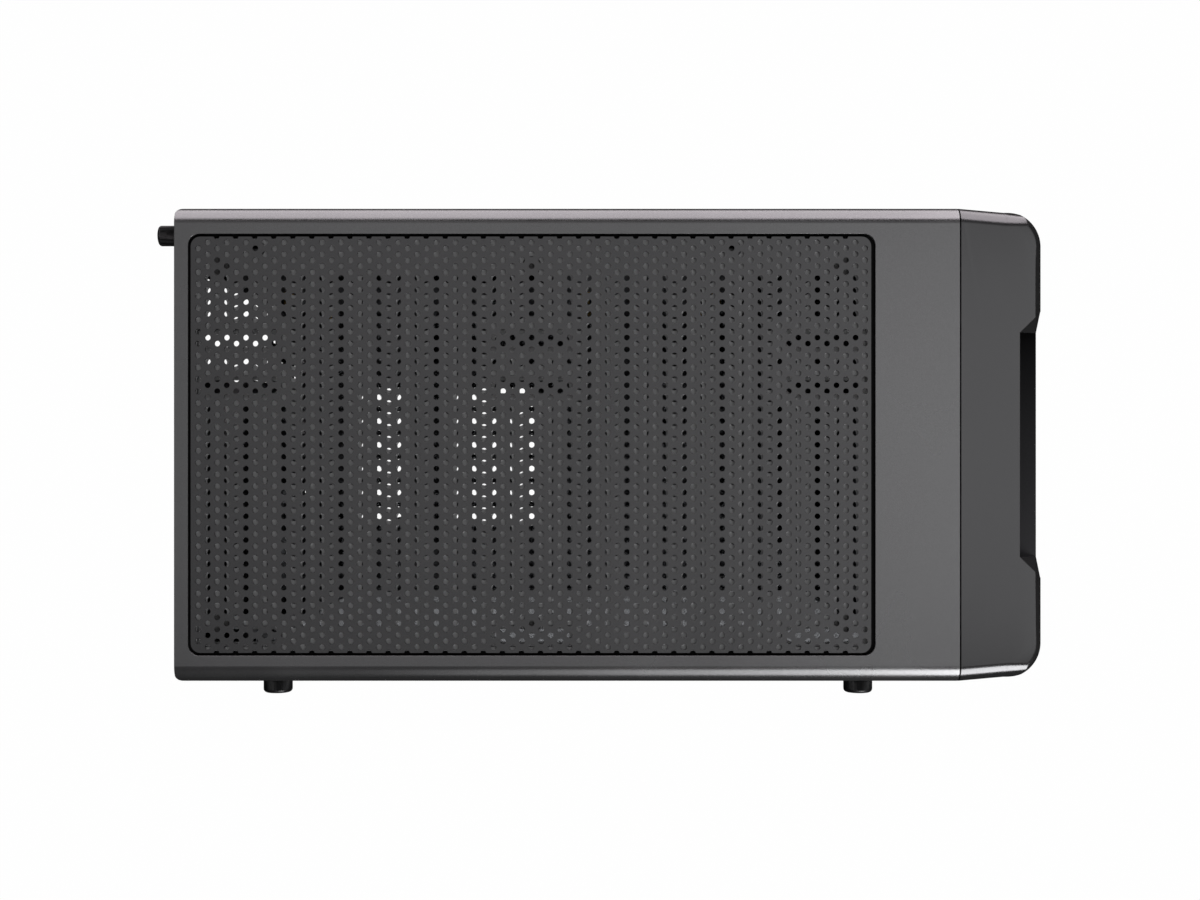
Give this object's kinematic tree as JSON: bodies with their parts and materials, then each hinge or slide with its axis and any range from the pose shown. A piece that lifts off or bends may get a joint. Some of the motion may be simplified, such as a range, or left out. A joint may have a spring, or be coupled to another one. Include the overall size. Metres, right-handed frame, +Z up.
{
  "type": "mid tower pc case",
  "caption": "Mid tower computer case with a perforated magnetic top filter, glass side, steel side, moulded front with a dark centre panel, and a folded steel chassis.",
  "frame": {"origin": "on the floor under the centre of the whole outline, thumbscrews included", "axes": "+Z up, the front faces -Y, the glass side faces -X, the steel side faces +X"},
  "size_m": [0.2066, 0.376, 0.45],
  "materials": {
    "cover_paint": "satin, fine grain",
    "chassis_paint": "satin",
    "vent_paint": "satin",
    "filter_sheet": "matte, perforated",
    "bezel_plastic": "fine moulded grain",
    "dark_plastic": "fine moulded grain",
    "black_metal": "black oxide",
    "rubber": "matte",
    "nylon_mesh": "fine woven",
    "zinc": "plated",
    "brass": "machined",
    "tinted_glass": "polished",
    "board_laminate": "solder mask",
    "clear_lens": "translucent"
  },
  "bodies": {
    "chassis": {"top_cover": "cover_paint", "top_panel": "vent_paint", "rear_panel": "chassis_paint", "bottom_pan": "chassis_paint", "motherboard_tray": "chassis_paint", "front_frame": "chassis_paint", "psu_shroud": "chassis_paint", "drive_cage": "chassis_paint", "drive_tray_lower": "dark_plastic", "drive_tray_upper": "dark_plastic", "ssd_bracket_lower": "chassis_paint", "ssd_bracket_upper": "chassis_paint", "standoffs": "brass", "cable_grommets": "rubber", "glass_nuts": "zinc", "psu_pads": "rubber", "feet": "dark_plastic", "foot_pads": "rubber", "slot_screws": "black_metal", "rear_fan_frame": "dark_plastic", "rear_fan_screws": "black_metal", "slot_cover_1": "chassis_paint", "slot_cover_2": "chassis_paint", "slot_cover_3": "chassis_paint", "slot_cover_4": "chassis_paint", "slot_cover_5": "chassis_paint", "slot_cover_6": "chassis_paint", "slot_cover_7": "chassis_paint"},
    "top_filter": {"top_filter": "filter_sheet", "filter_magnets": "rubber"},
    "front_bezel": {"front_bezel": "bezel_plastic", "bezel_clips": "bezel_plastic", "front_grille": "dark_plastic", "front_filter": "nylon_mesh", "control_board": "board_laminate", "usb_ports": "zinc", "audio_jacks": "dark_plastic", "led_lenses": "clear_lens"},
    "power_button": {"power_button": "dark_plastic"},
    "reset_button": {"reset_button": "dark_plastic"},
    "glass_side": {"glass_pane": "tinted_glass", "glass_screws": "black_metal", "glass_washers": "rubber"},
    "steel_side": {"side_panel": "cover_paint", "side_panel_screws": "black_metal"},
    "fan_rotor": {"rear_fan_rotor": "dark_plastic"}
  },
  "joints": [
    {"name": "top_filter_lift", "type": "slide", "parent": "chassis", "child": "top_filter", "axis": [0, 0, 1], "range_m": [0, 0.08]},
    {"name": "front_bezel_pull", "type": "slide", "parent": "chassis", "child": "front_bezel", "axis": [0, -1, 0], "range_m": [0, 0.1]},
    {"name": "power_button_press", "type": "slide", "parent": "front_bezel", "child": "power_button", "axis": [0, 1, 0], "range_m": [0, 0.0015], "stiffness_N_per_m": 600},
    {"name": "reset_button_press", "type": "slide", "parent": "front_bezel", "child": "reset_button", "axis": [0, 1, 0], "range_m": [0, 0.0015], "stiffness_N_per_m": 400},
    {"name": "glass_side_off", "type": "slide", "parent": "chassis", "child": "glass_side", "axis": [-1, 0, 0], "range_m": [0, 0.12]},
    {"name": "steel_side_slide", "type": "slide", "parent": "chassis", "child": "steel_side", "axis": [0, 1, 0], "range_m": [0, 0.36]},
    {"name": "fan_spin", "type": "hinge", "parent": "chassis", "child": "fan_rotor", "pos_m": [-0.0283, 0.16285, 0.365], "axis": [0, 1, 0], "continuous": true}
  ]
}
